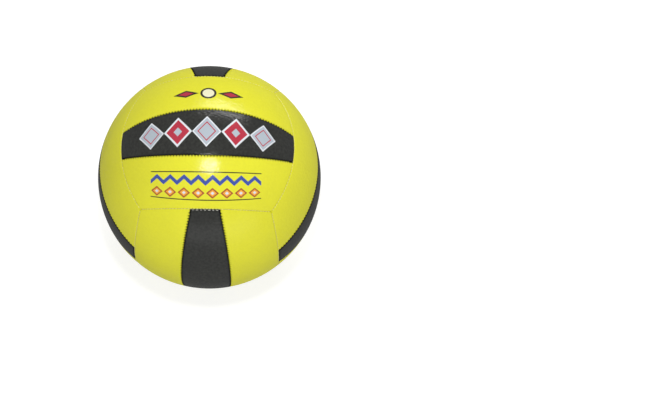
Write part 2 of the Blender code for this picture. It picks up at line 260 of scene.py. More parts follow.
# Rubber: the width of its bloom's clouds and the relief of its grit, both in widths of the grit,
# and how much its roughness varies.
BLOOM_WIDTH = 12
GRIT_RELIEF = 0.1
ROUGHNESS_SPREAD = 0.08

# Blender's own numbers: a Mix node's sockets for colours, and the radians that a Wave texture
# turns by in one unit.
MIX_SHARE, MIX_FROM, MIX_TO, MIX_RESULT = 0, 6, 7, 2
WAVE_RADIANS = 20

# Camera: the photograph's view of the ball, in pixels of its frame.
FRAME_WIDTH, FRAME_HEIGHT = 646, 401
BALL_PIXEL = (209.5, 177.3)
BALL_PIXEL_RADIUS = 111.3
CAMERA_DISTANCE = 33 * BALL_RADIUS
TO_CAMERA = Vector((0.0344, -0.405, 0.9137)).normalized()
CAMERA_UP = Vector((-0.0188, 0.9146, 0.404))
SENSOR_WIDTH = 36.0

# Soft boxes: the way to each from the ball, its distance, its width and height in metres, and its
# power in watts. Seen from the ball, the key is KEY_RISE above the camera.
KEY_RISE = 11.6 * DEGREE
TO_KEY = TO_CAMERA * math.cos(KEY_RISE) + CAMERA_UP.normalized() * math.sin(KEY_RISE)
SOFT_BOXES = {
    "key": (TO_KEY, 1.6, (0.13, 0.13), 9.8),
    "rear": (Vector((0.215, 0.9, 0.72)), 1.4, (0.8, 0.29), 7.6),
    "front": (Vector((0.18, -1.0, 0.14)), 1.3, (1.6, 0.5), 2.0),
}

# Room light: its mean level, how much lighter it is on its light side, and where that is.
ROOM_LEVEL = 0.42
ROOM_SLOPE = 0.41
ROOM_LIGHT_SIDE = Vector((0.06, -0.95, 0.15))

# Floor: its size, how far it lies below the ball, its grey under the lamps, and the glow that
# makes it white to the camera.
FLOOR_SIZE = 20
FLOOR_GAP = 0.05 * MM
FLOOR_GREY = "#aaaaaa"
FLOOR_GLOW = 0.75
WHITE = "#ffffff"


def srgb(code):
    """Linear RGBA of an sRGB hex colour."""
    channels = [int(code[i : i + 2], 16) / 255 for i in (1, 3, 5)]
    linear = [c / 12.92 if c <= 0.04045 else ((c + 0.055) / 1.055) ** 2.4 for c in channels]
    return (*linear, 1.0)


def add_node(tree, kind, inputs=None, **settings):
    """Adds a node, sets its properties, and sets or links its inputs."""
    made = tree.nodes.new(kind)
    for name, value in settings.items():
        setattr(made, name, value)
    for key, value in (inputs or {}).items():
        if isinstance(value, bpy.types.NodeSocket):
            tree.links.new(value, made.inputs[key])
        else:
            made.inputs[key].default_value = value
    return made


# Seam layout. A seam lies in a plane, written as an edge (tilt, lean) that crosses its face's
# middle line at the angle tilt + lean. A face's own frame has X along its strips, Y across them
# and Z outwards.


def mirrored(edge):
    """The same edge on the opposite side of its face."""
    return -edge[0], -edge[1]


def edge_through(offset_a, height_a, offset_b, height_b):
    """The edge through two points, given by their offset across it and their height."""
    tilt = math.atan2(offset_b - offset_a, height_b - height_a)
    return tilt, math.asin(offset_a * math.cos(tilt) - height_a * math.sin(tilt))


def seam_edges():
    """The edges of a face: its long side, its strip end, and the seam beside its middle strip."""
    corner = 1 / math.sqrt(3)
    half_length = STRIP_LENGTH / 2
    long_side = edge_through(corner, corner, math.cos(half_length), math.sin(half_length))
    strip_end = math.pi / 2 - long_side[0], -long_side[1]
    end_offset = math.sin(MIDDLE_STRIP_END_WIDTH / 2)
    reach = math.sqrt(1 - end_offset**2)
    end_height = reach * math.cos(strip_end[0] + math.asin(math.sin(strip_end[1]) / reach))
    half_width = MIDDLE_STRIP_WIDTH / 2
    strip_seam = edge_through(end_offset, end_height, math.sin(half_width), math.cos(half_width))
    return long_side, strip_end, strip_seam


LONG_SIDE, STRIP_END, STRIP_SEAM = seam_edges()


def crossing(columns, rows):
    """Points of the unit ball where column planes cross row planes.

    Both are arrays of (tilt, lean, inset), and the inset moves a plane sideways.
    """
    tilt_a, lean_a, inset_a = np.moveaxis(np.asarray(columns, float), -1, 0)
    tilt_b, lean_b, inset_b = np.moveaxis(np.asarray(rows, float), -1, 0)
    near_a = np.sin(lean_a) + inset_a / BALL_RADIUS * np.cos(lean_a)
    near_b = np.sin(lean_b) + inset_b / BALL_RADIUS * np.cos(lean_b)
    cos_a, sin_a, cos_b, sin_b = np.cos(tilt_a), np.sin(tilt_a), np.cos(tilt_b), np.sin(tilt_b)
    shared = sin_a * sin_b
    share_a = (near_a - near_b * shared) / (1 - shared**2)
    share_b = (near_b - near_a * shared) / (1 - shared**2)
    foot = np.stack([share_a * cos_a, share_b * cos_b, -share_a * sin_a - share_b * sin_b], -1)
    line = np.stack([sin_a * cos_b, cos_a * sin_b, cos_a * cos_b], -1)
    reach = np.sqrt((1 - (foot**2).sum(-1)) / (1 - shared**2))
    return foot + line * reach[..., None]


def seam_axes(edge, axis):
    """Unit directions of a seam's plane: square to it, outwards in it and along it."""
    tilt = edge[0]
    own, along, up = np.eye(3)[axis], np.eye(3)[1 - axis], np.eye(3)[2]
    across = own * math.cos(tilt) - up * math.sin(tilt)
    outward = own * math.sin(tilt) + up * math.cos(tilt)
    return across, outward, along


def seam_place(points, edge, axis):
    """Distance of points from a seam, towards +axis, and their place along it from its middle."""
    across, outward, along = seam_axes(edge, axis)
    lean = edge[1]
    place = np.arctan2(points @ along, points @ outward) * BALL_RADIUS * math.cos(lean)
    return (np.arcsin(points @ across) - lean) * BALL_RADIUS, place


def seam_stitches(edge, end):
    """Half the length of a seam along the strips, to the given end edge, and its stitch count."""
    _, half_length = seam_place(crossing((*end, 0.0), (*edge, 0.0)), edge, 1)
    return float(half_length), round(2 * float(half_length) / STITCH_PITCH)


SEAM_STITCHES = seam_stitches(STRIP_SEAM, STRIP_END)
SIDE_STITCHES = seam_stitches(LONG_SIDE, STRIP_END)


def stitch_pull(along, stitches):
    """How strongly the nearest stitch hole pulls at a place along a seam, from 0 to 1.

    The first and the last hole are half a pitch from the seam's ends.
    """
    half_length, count = stitches
    turn = along / half_length * count / 2 + (0.5 if count % 2 == 0 else 0.0)
    return (0.5 + 0.5 * np.cos(2 * math.pi * turn)) ** 2


def fading(distance, reach):
    """Falls smoothly from 1 to 0 with the distance, for the most part within the reach."""
    return np.exp(-((distance / reach) ** 2))


# Panels of the cover.


def mesh_lines(low, high, narrowest, widest):
    """Mesh lines of a panel from edge to edge, as (tilt, lean, inset).

    The margins keep them clear of each other where the panel is narrowest.
    """
    margin = (EDGE_LINES[-1] + LINE_SPACING) / narrowest
    low, high = np.array(low), np.array(high)
    shares = np.linspace(margin, 1 - margin, round(widest / LINE_SPACING))
    inner = [(*(low + (high - low) * share), 0.0) for share in shares]
    first = [(*low, distance) for distance in EDGE_LINES]
    last = [(*high, -distance) for distance in reversed(EDGE_LINES)]
    return first + inner + last


def new_grid(name, columns, rows):
    """A flat grid object with that many lines each way, and each vertex's column and row."""
    bpy.ops.object.select_all(action="DESELECT")
    bpy.ops.mesh.primitive_grid_add(x_subdivisions=columns - 1, y_subdivisions=rows - 1, size=2)
    made = bpy.context.object
    made.name = made.data.name = name
    places = np.empty(len(made.data.vertices) * 3)
    made.data.vertices.foreach_get("co", places)
    places = places.reshape(-1, 3)
    column = np.rint((places[:, 0] + 1) / 2 * (columns - 1)).astype(int)
    row = np.rint((places[:, 1] + 1) / 2 * (rows - 1)).astype(int)
    return made, column, row


def edge_drop(distance, pull):
    """How far a panel's surface drops beside a seam: a rounded edge, deeper at each stitch hole."""
    share = np.clip((EDGE_WIDTH - distance) / (EDGE_WIDTH - SEAM_HALF_GAP), 0, 1)
    rounded = EDGE_DROP * (1 - np.sqrt(1 - EDGE_ROUNDNESS * share**2))
    return rounded + PUCKER_DEPTH * pull * fading(distance, PUCKER_REACH)


def sewn(points, sides):
    """A panel's points as its seams pull them, and how strongly painted seam shade darkens each
    point.

    Each side is (axis, inside, edge, stitches, tooth, set back). The panel lies on the inside,
    1 or -1 along the axis, of the edge. Tooth is the way that the seam's line waves to, and set
    back is how far the panel keeps from that line.
    """
    drop = np.zeros(len(points))
    painted_groove_shade = np.zeros(len(points))
    painted_hole_shade = np.zeros(len(points))
    wave = np.zeros_like(points)
    for axis, inside, edge, stitches, tooth, set_back in sides:
        distance, along = seam_place(points, edge, axis)
        distance = np.maximum(distance * inside, SEAM_HALF_GAP)
        pull = stitch_pull(along, stitches)
        drop = np.hypot(drop, edge_drop(distance, pull))
        # Painted shade: darker along each seam's groove and round its stitch holes, where shade
        # falls.
        painted_groove_shade = np.maximum(painted_groove_shade, fading(distance, PAINTED_GROOVE_SHADE_REACH))
        painted_hole_shade = np.maximum(painted_hole_shade, pull * fading(distance, PAINTED_HOLE_SHADE_REACH))
        end_fade = np.clip((stitches[0] - abs(along)) / TOOTH_FADE, 0, 1)
        reach = tooth * TOOTH_LENGTH * (pull - MEAN_PULL) * end_fade + inside * set_back
        reach *= fading(distance, TOOTH_REACH)
        wave += (reach / BALL_RADIUS)[:, None] * seam_axes(edge, axis)[0]
    pulled = points + wave
    pulled *= ((BALL_RADIUS - drop) / np.linalg.norm(pulled, axis=1))[:, None]
    return pulled, {"painted_groove_shade": painted_groove_shade, "painted_hole_shade": painted_hole_shade}


def turn_in_hem():
    """Extrudes the active panel's rim towards the ball's centre."""
    bpy.ops.object.mode_set(mode="EDIT")
    bpy.ops.mesh.select_all(action="SELECT")
    bpy.ops.mesh.region_to_loop()
    bpy.ops.mesh.extrude_edges_move()
    shrink = 1 - HEM_DEPTH / BALL_RADIUS
    bpy.ops.transform.resize(value=(shrink,) * 3, center_override=(0, 0, 0))
    bpy.ops.object.mode_set(mode="OBJECT")
    bpy.ops.object.shade_smooth()


def panel_shape(name, low, high):
    """One strip's skin in its face's frame: a sheet on the ball, with its edges turned in.

    The low and high sides are given as (edge, stitches, tooth, set back).
    """
    ends = ((*STRIP_END, 0.0), (0.0, 0.0, 0.0))
    widths = [float(seam_place(crossing(end, (*high[0], 0.0)), low[0], 1)[0]) for end in ends]
    length = STRIP_LENGTH * BALL_RADIUS
    columns = mesh_lines(mirrored(STRIP_END), STRIP_END, 2 * SIDE_STITCHES[0], length)
    rows = mesh_lines(low[0], high[0], min(widths), max(widths))
    sheet, column, row = new_grid(name, len(columns), len(rows))
    points = crossing(np.array(columns)[column], np.array(rows)[row])
    sides = [
        (1, 1, *low),
        (1, -1, *high),
        (0, 1, mirrored(STRIP_END), SIDE_STITCHES, 0, 0),
        (0, -1, STRIP_END, SIDE_STITCHES, 0, 0),
    ]
    points, shades = sewn(points, sides)
    sheet.data.vertices.foreach_set("co", points.ravel())
    # The painted seam shade is stored on the points, and the leather darkens its colour by it.
    for attribute, values in shades.items():
        layer = sheet.data.attributes.new(attribute, "FLOAT", "POINT")
        layer.data.foreach_set("value", values.astype(np.float32))
    turn_in_hem()
    return sheet


def face_turn(face, side):
    """Rotation from a face's frame to the ball's; the low side's strip is turned half round."""
    normal, along = Vector(FACES[face][0]), Vector(FACES[face][1])
    turn = Matrix((along, normal.cross(along), normal)).transposed()
    return turn @ Matrix.Rotation(math.pi, 3, "Z") if side < 0 else turn


def placed_copy(shape, name, turn):
    """A copy of a modelled shape with a mesh of its own, turned into place."""
    made = shape.copy()
    made.data = shape.data.copy()
    made.name = made.data.name = name
    bpy.context.scene.collection.objects.link(made)
    made.data.transform(turn.to_4x4())
    return made


def press_flat(panel):
    """Flattens the small patch that the ball lies on."""
    for vertex in panel.data.vertices:
        vertex.co.z = max(vertex.co.z, CAD_BOX[0].z)


def add_panels(finishes):
    """The skins of all strips; finishes gives the material of a strip, or of its colour."""
    low_seam = (mirrored(STRIP_SEAM), SEAM_STITCHES, -1, CHARCOAL_SET_BACK)
    high_seam = (STRIP_SEAM, SEAM_STITCHES, 1, CHARCOAL_SET_BACK)
    middle = panel_shape("middle_skin", low_seam, high_seam)
    strip_seam = (STRIP_SEAM, SEAM_STITCHES, 1, 0)
    side = panel_shape("side_skin", strip_seam, (LONG_SIDE, SIDE_STITCHES, 0, 0))
    made = {}
    for face, (_, _, strips) in FACES.items():
        for position, strip in zip((-1, 0, 1), strips):
            shape, slot = (side, "yellow_skin") if position else (middle, "charcoal_skin")
            panel = placed_copy(shape, f"{face}_{strip}_skin", face_turn(face, position))
            panel.data.materials.append(finishes.get((face, strip), finishes[slot]))
            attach(panel, "ball")
            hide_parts(f"{face}_{strip}_panel")
            made[face, strip] = panel
    for shape in (middle, side):
        bpy.data.objects.remove(shape)
    press_flat(made["bottom", "middle"])
    return made


# Stitches.


def extruded_ring(name, sides, stations):
    """A ring that is extruded along Z through (radius, height, shift along X) stations."""
    radius, height, shift = stations[0]
    bpy.ops.object.select_all(action="DESELECT")
    bpy.ops.mesh.primitive_circle_add(vertices=sides, radius=radius, location=(shift, 0, height))
    made = bpy.context.object
    made.name = made.data.name = name
    bpy.ops.object.transform_apply()
    bpy.ops.object.mode_set(mode="EDIT")
    for start, end in zip(stations, stations[1:]):
        bpy.ops.mesh.extrude_edges_move()
        share = end[0] / start[0]
        centre = (start[2], 0, start[1])
        bpy.ops.transform.resize(value=(share, share, 1), center_override=centre)
        bpy.ops.transform.translate(value=(end[2] - start[2], 0, end[1] - start[1]))
    return made


def close_ring(bridge):
    """Bridges the first and last loops of the ring in edit mode, or caps them, and leaves it."""
    bpy.ops.mesh.select_all(action="DESELECT")
    bpy.ops.mesh.select_non_manifold()
    if bridge:
        bpy.ops.mesh.bridge_edge_loops()
    else:
        bpy.ops.mesh.fill_holes(sides=0)
    bpy.ops.mesh.select_all(action="SELECT")
    bpy.ops.mesh.normals_make_consistent(inside=False)
    bpy.ops.object.mode_set(mode="OBJECT")


def stitch_shape():
    """One stitch as a thread along Z that dips at both ends, towards -X."""
    half = STITCH_PITCH * STITCH_SHARE / 2
    stations = [
        (THREAD_RADIUS * thickness, half * place, -STITCH_DIP * dip)
        for place, thickness, dip in STITCH_BOW
    ]
    made = extruded_ring("stitch", THREAD_SIDES, stations)
    close_ring(bridge=False)
    bpy.ops.object.shade_smooth()
    return made


def stitch_place(edge, axis, along, depth, inset=0.0):
    """Placement of a stitch that lies that deep, at a place along a seam and that far across."""
    across, outward, forward = seam_axes(edge, axis)
    lean = edge[1] + inset / BALL_RADIUS
    angle = along / (BALL_RADIUS * math.cos(lean))
    run = forward * math.cos(angle) - outward * math.sin(angle)
    out = outward * math.cos(angle) + forward * math.sin(angle)
    rise = across * math.sin(lean) + out * math.cos(lean)
    turn = Matrix((rise, np.cross(run, rise), run)).transposed().to_4x4()
    return Matrix.Translation(rise * (BALL_RADIUS - depth)) @ turn


def seam_places():
    """Placements and dyes of the stitches along a face's strip seams and strip ends.

    They are in the face's frame, and each stitch lies between two holes.
    """
    # The strip seams' thread is real; its pure black is painted shade in the seam gaps.
    strip_seam = (1, SEAM_STITCHES, STRIP_SEAM_THREAD_DEPTH, BLACK_SHADE_DYE)
    strip_end = (0, SIDE_STITCHES, STRIP_END_THREAD_DEPTH, STRAW_DYE)
    seams = [(edge, *strip_seam) for edge in (STRIP_SEAM, mirrored(STRIP_SEAM))]
    seams += [(edge, *strip_end) for edge in (STRIP_END, mirrored(STRIP_END))]
    for edge, axis, (half_length, count), depth, dye in seams:
        for i in range(1, count):
            along = half_length * (2 * i / count - 1)
            uneven = 1 + sum(share * math.sin(turn * i) for share, turn in DEPTH_WAVES)
            yield stitch_place(edge, axis, along, depth * uneven), dye


def closing_places():
    """Placements and dyes of the hand stitches at the upper end of the front charcoal strip."""
    share, turn = CLOSING_LENGTH_WAVE
    for i in range(CLOSING_STITCHES):
        along = (i - (CLOSING_STITCHES - 1) / 2) * CLOSING_PITCH
        length = Matrix.Diagonal((1, 1, CLOSING_LENGTH + share * math.sin(turn * i), 1))
        place = stitch_place(STRIP_END, 0, along, CLOSING_DEPTH, -CLOSING_INSET)
        yield place @ length, WHITE_DYE


def gathered_stitches(stitch, places):
    """One mesh of a stitch repeated at each placement, with its thread's dye as an attribute."""
    gathered = bmesh.new()
    for place, dye in places:
        copy = stitch.data.copy()
        copy.transform(place)
        layer = copy.attributes.new("dye", "FLOAT", "POINT")
        layer.data.foreach_set("value", [dye] * len(copy.vertices))
        gathered.from_mesh(copy)
        bpy.data.meshes.remove(copy)
    mesh = bpy.data.meshes.new("stitches")
    gathered.to_mesh(mesh)
    gathered.free()
    return mesh


def add_stitches(finish):
    """The stitches of each face, and the closing stitches with those of the front face."""
    stitch = stitch_shape()
    for face in FACES:
        places = [*seam_places(), *(closing_places() if face == "front" else ())]
        mesh = gathered_stitches(stitch, places)
        mesh.transform(face_turn(face, 1).to_4x4())
        mesh.materials.append(finish)
        stitches = bpy.data.objects.new(f"{face}_seam_stitches", mesh)
        bpy.context.scene.collection.objects.link(stitches)
        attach(stitches, "ball")
        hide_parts(f"{face}_seam_thread")
    bpy.data.objects.remove(stitch)


# Valve.


def inner_end(node):
    """How far a solid's inner end is from the ball's centre, along the valve's axis."""
    return min(vertex.co.dot(VALVE_AXIS) for vertex in frame["nodes"][node].data.vertices)


def off_valve_axis(point):
    """A point's offset from the valve's axis."""
    return point - VALVE_AXIS * point.dot(VALVE_AXIS)


def open_valve_hole(panel):
    """Opens a round hole for the valve in its panel, in a shallow dimple, and turns its rim in."""
    bpy.ops.object.select_all(action="DESELECT")
    panel.select_set(True)
    bpy.context.view_layer.objects.active = panel
    bpy.ops.object.mode_set(mode="EDIT")
    bpy.ops.mesh.select_mode(type="FACE")
    bpy.ops.mesh.select_all(action="DESELECT")
    shape = bmesh.from_edit_mesh(panel.data)
    for face in shape.faces:
        face.select_set(off_valve_axis(face.calc_center_median()).length < VALVE_HOLE_RADIUS)
    bpy.ops.mesh.delete(type="FACE")

    bpy.ops.mesh.select_mode(type="EDGE")
    shape = bmesh.from_edit_mesh(panel.data)
    for vertex in shape.verts:
        sideways = off_valve_axis(vertex.co)
        if vertex.is_boundary and sideways.length < 2 * VALVE_HOLE_RADIUS:
            along = vertex.co - sideways
            sideways *= VALVE_HOLE_RADIUS / sideways.length
            vertex.co = (along + sideways).normalized() * BALL_RADIUS
        outside = max(sideways.length - VALVE_HOLE_RADIUS, 0)
        vertex.co *= 1 - DIMPLE_DEPTH * fading(outside, DIMPLE_REACH) / BALL_RADIUS
    for edge in shape.edges:
        middle = (edge.verts[0].co + edge.verts[1].co) / 2
        near = off_valve_axis(middle).length < 2 * VALVE_HOLE_RADIUS
        edge.select_set(edge.is_boundary and near)
    bmesh.update_edit_mesh(panel.data)
    bpy.ops.mesh.mark_sharp()
    bpy.ops.mesh.extrude_edges_move()
    bpy.ops.transform.translate(value=-VALVE_AXIS * VALVE_HOLE_WALL)
    bpy.ops.object.mode_set(mode="OBJECT")


def turned_rubber(name, profile, bridge, finish, node, body):
    """A turned rubber piece on the valve's axis, from its (radius, height) profile."""
    made = extruded_ring(name, TURNED_SIDES, [(radius, height, 0) for radius, height in profile])
    close_ring(bridge)
    softened = made.modifiers.new("softened", "BEVEL")
    softened.limit_method = "ANGLE"
    softened.angle_limit = SOFTENED_ANGLE
    softened.width = RUBBER_EDGE
    softened.segments = RUBBER_EDGE_SEGMENTS
    bpy.ops.object.modifier_apply(modifier=softened.name)
    bpy.ops.object.shade_smooth_by_angle(angle=SMOOTH_ANGLE)
    made.data.transform(VALVE_AXIS.to_track_quat("Z", "Y").to_matrix().to_4x4())
    made.data.materials.append(finish)
    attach(made, body)
    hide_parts(node)


def plug_profile(top, tip):
    """From the bottom of the needle hole, over the head and down the ribbed shank to the tip."""
    shank = BORE_RADIUS - RUBBER_FIT
    head_bottom = top - PLUG_HEAD_THICKNESS
    profile = [
        (NEEDLE_HOLE_RADIUS, top - NEEDLE_HOLE_DEPTH),
        (NEEDLE_HOLE_RADIUS, top - COUNTERSINK_DEPTH),
        (COUNTERSINK_RADIUS, top),
        (PLUG_HEAD_RADIUS - RIM_CHAMFER, top),
        (PLUG_HEAD_RADIUS, top - RIM_CHAMFER),
        (PLUG_HEAD_RADIUS, head_bottom),
        (shank, head_bottom),
    ]
    for i in range(PLUG_RIBS):
        rib = head_bottom - (i + 1) * PLUG_RIB_SPACING
        for size, place in PLUG_RIB_SHAPE:
            profile.append((shank + size * PLUG_RIB_HEIGHT, rib + place * PLUG_RIB_HEIGHT))
    return profile + [(shank, tip + PLUG_TAPER), (PLUG_TIP_RADIUS, tip)]


def housing_profile(top, seat, flange_top, stem_end):
    """From the seat of the plug's head, over the collar and the flange, and back up the bore."""
    head_bore = PLUG_HEAD_RADIUS + RUBBER_FIT
    return [
        (head_bore, seat),
        (head_bore, top - RIM_CHAMFER),
        (head_bore + RIM_CHAMFER, top),
        (COLLAR_RADIUS - RIM_CHAMFER, top),
        (COLLAR_RADIUS, top - RIM_CHAMFER),
        (COLLAR_RADIUS, flange_top),
        (FLANGE_RADIUS, flange_top),
        (FLANGE_RADIUS, flange_top - FLANGE_THICKNESS),
        (STEM_RADIUS, flange_top - FLANGE_THICKNESS),
        (STEM_RADIUS, stem_end + STEM_CHAMFER),
        (STEM_RADIUS - STEM_CHAMFER, stem_end),
        (BORE_RADIUS, stem_end),
        (BORE_RADIUS, seat),
    ]


def add_valve(finish):
    """The housing, whose collar fills the hole in the cover, and the plug that slides in it."""
    collar_top = BALL_RADIUS - DIMPLE_DEPTH - COLLAR_RECESS
    plug_top = collar_top - PLUG_RECESS
    seat = plug_top - PLUG_HEAD_THICKNESS - RUBBER_FIT
    flange_top = inner_end("valve_patch") - RUBBER_FIT
    stem_end = inner_end("valve_housing")
    housing = housing_profile(collar_top, seat, flange_top, stem_end)
    turned_rubber("valve_housing_moulded", housing, True, finish, "valve_housing", "ball")
    plug = plug_profile(plug_top, inner_end("valve_plug"))
    turned_rubber("valve_plug_moulded", plug, False, finish, "valve_plug", "valve_plug")


# Prints on the top face. Places are in millimetres over the ball: along the strips, and across
# from a print's centre.


def print_place(tree, place, centre):
    """Place on the top face for a print that is centred that far across it."""
    axes = add_node(tree, "ShaderNodeSeparateXYZ", {0: place}).outputs
    share = add_node(
        tree, "ShaderNodeMath", {0: axes["X"], 1: BALL_RADIUS}, operation="DIVIDE"
    ).outputs[0]
    along = add_node(tree, "ShaderNodeMath", {0: share}, operation="ARCSINE").outputs[0]
    across = add_node(
        tree, "ShaderNodeMath", {0: axes["Y"], 1: axes["Z"]}, operation="ARCTAN2"
    ).outputs[0]
    angles = add_node(tree, "ShaderNodeCombineXYZ", {"X": along, "Y": across}).outputs[0]
    return add_node(
        tree,
        "ShaderNodeVectorMath",
        {0: angles, 1: (BALL_RADIUS / MM,) * 3, 2: (0, -centre, 0)},
        operation="MULTIPLY_ADD",
    ).outputs[0]


def in_row(tree, place, pitch, first, last):
    """Place from the nearest motif of a row, whose motifs sit at first to last times the pitch."""
    turns = add_node(
        tree,
        "ShaderNodeVectorMath",
        {0: place, 1: (1 / pitch, 0, 0), 2: (0.5, 0, 0)},
        operation="MULTIPLY_ADD",
    ).outputs[0]
    number = add_node(tree, "ShaderNodeVectorMath", {0: turns}, operation="FLOOR").outputs[0]
    for limit, operation in ((first, "MAXIMUM"), (last, "MINIMUM")):
        number = add_node(
            tree, "ShaderNodeVectorMath", {0: number, 1: (limit, 0, 0)}, operation=operation
        ).outputs[0]
    return add_node(
        tree,
        "ShaderNodeVectorMath",
        {0: number, 1: (-pitch, 0, 0), 2: place},
        operation="MULTIPLY_ADD",
    ).outputs[0]


def lozenge(tree, place, half_length, half_height):
    """0 in the middle of a lozenge and 1 on its outline."""
    folded = add_node(tree, "ShaderNodeVectorMath", {0: place}, operation="ABSOLUTE").outputs[0]
    return add_node(
        tree,
        "ShaderNodeVectorMath",
        {0: folded, 1: (1 / half_length, 1 / half_height, 0)},
        operation="DOT_PRODUCT",
    ).outputs["Value"]


def line_along(tree, distance, half_width, ends):
    """0 in the middle of a line and 1 on its outline; ends is 1 where the line ends."""
    gap = add_node(tree, "ShaderNodeMath", {0: distance}, operation="ABSOLUTE").outputs[0]
    share = add_node(
        tree, "ShaderNodeMath", {0: gap, 1: half_width}, operation="DIVIDE"
    ).outputs[0]
    return add_node(tree, "ShaderNodeMath", {0: share, 1: ends}, operation="MAXIMUM").outputs[0]


def inked(tree, colour, field, bands):
    """Prints a motif's bands of ink over a colour."""
    node = add_node(tree, "ShaderNodeValToRGB", {"Fac": field})
    ramp = node.color_ramp
    ramp.interpolation = "CONSTANT"
    ramp.elements[0].color = srgb(bands[0][1])
    ramp.elements[1].color = (0, 0, 0, 0)
    for (limit, _), (_, ink) in zip(bands, bands[1:]):
        ramp.elements.new(limit).color = srgb(ink)
    return add_node(
        tree,
        "ShaderNodeMix",
        {MIX_SHARE: node.outputs["Alpha"], MIX_FROM: colour, MIX_TO: node.outputs["Color"]},
        data_type="RGBA",
    ).outputs[MIX_RESULT]


def lozenge_print(tree, colour, place):
    """A row of touching lozenges along the charcoal strip, silver and red by turns."""
    spot = print_place(tree, place, 0)
    size = (LOZENGE_PITCH / 2, LOZENGE_HALF_HEIGHT)
    silver = in_row(tree, spot, 2 * LOZENGE_PITCH, -1, 1)
    colour = inked(tree, colour, lozenge(tree, silver, *size), SILVER_LOZENGE)
    between = add_node(
        tree, "ShaderNodeVectorMath", {0: spot, 1: (-LOZENGE_PITCH, 0, 0)}, operation="SUBTRACT"
    ).outputs[0]
    red = in_row(tree, between, 2 * LOZENGE_PITCH, 0, 1)
    return inked(tree, colour, lozenge(tree, red, *size), RED_LOZENGE)


def border_print(tree, colour, place):
    """A border on the front strip: a blue zigzag over orange lozenges, between two thin rules."""
    spot = print_place(tree, place, BORDER_CENTRE)
    axes = add_node(tree, "ShaderNodeSeparateXYZ", {0: spot}).outputs
    half_pitch = BORDER_PITCH / 2
    out = add_node(tree, "ShaderNodeMath", {0: axes["X"]}, operation="ABSOLUTE").outputs[0]
    ends = add_node(
        tree, "ShaderNodeMath", {0: out, 1: BORDER_HALF_LENGTH}, operation="DIVIDE"
    ).outputs[0]

    ridge = add_node(
        tree, "ShaderNodeMath", {0: axes["X"], 1: half_pitch}, operation="PINGPONG"
    ).outputs[0]
    ridge = add_node(
        tree,
        "ShaderNodeMath",
        {0: ridge, 1: ZIGZAG_HEIGHT / half_pitch, 2: ZIGZAG_BASE},
        operation="MULTIPLY_ADD",
    ).outputs[0]
    gap = add_node(
        tree, "ShaderNodeMath", {0: axes["Y"], 1: ridge}, operation="SUBTRACT"
    ).outputs[0]
    colour = inked(tree, colour, line_along(tree, gap, ZIGZAG_HALF_WIDTH, ends), ZIGZAG)

    across = add_node(tree, "ShaderNodeMath", {0: axes["Y"]}, operation="ABSOLUTE").outputs[0]
    gap = add_node(
        tree, "ShaderNodeMath", {0: across, 1: BORDER_HALF_HEIGHT}, operation="SUBTRACT"
    ).outputs[0]
    colour = inked(tree, colour, line_along(tree, gap, RULE_HALF_WIDTH, ends), RULE)

    count = round(2 * BORDER_HALF_LENGTH / BORDER_PITCH)
    from_first = add_node(
        tree,
        "ShaderNodeVectorMath",
        {0: spot, 1: (half_pitch - BORDER_HALF_LENGTH, SMALL_LOZENGE_PLACE, 0)},
        operation="SUBTRACT",
    ).outputs[0]
    row = in_row(tree, from_first, BORDER_PITCH, 0, count - 1)
    size = (half_pitch * SMALL_LOZENGE_SHARE, SMALL_LOZENGE_HALF_HEIGHT)
    return inked(tree, colour, lozenge(tree, row, *size), SMALL_LOZENGE)


def disc_print(tree, colour, place):
    """A cream disc on the rear strip, with a slim red lozenge on each side."""
    spot = print_place(tree, place, DISC_CENTRE)
    folded = add_node(tree, "ShaderNodeVectorMath", {0: spot}, operation="ABSOLUTE").outputs[0]
    beside = add_node(
        tree,
        "ShaderNodeVectorMath",
        {0: folded, 1: (SLIM_LOZENGE_PLACE, 0, 0)},
        operation="SUBTRACT",
    ).outputs[0]
    slim = lozenge(tree, beside, SLIM_LOZENGE_HALF_LENGTH, SLIM_LOZENGE_HALF_HEIGHT)
    colour = inked(tree, colour, slim, SLIM_LOZENGE)
    scaled = add_node(
        tree, "ShaderNodeVectorMath", {0: spot, "Scale": 1 / DISC_RADIUS}, operation="SCALE"
    ).outputs[0]
    disc = add_node(tree, "ShaderNodeVectorMath", {0: scaled}, operation="LENGTH")
    return inked(tree, colour, disc.outputs["Value"], DISC)


# Finishes.


def new_material(name):
    """A new material, its node tree and its shader."""
    made = bpy.data.materials.new(name)
    made.use_nodes = True
    return made, made.node_tree, made.node_tree.nodes["Principled BSDF"]


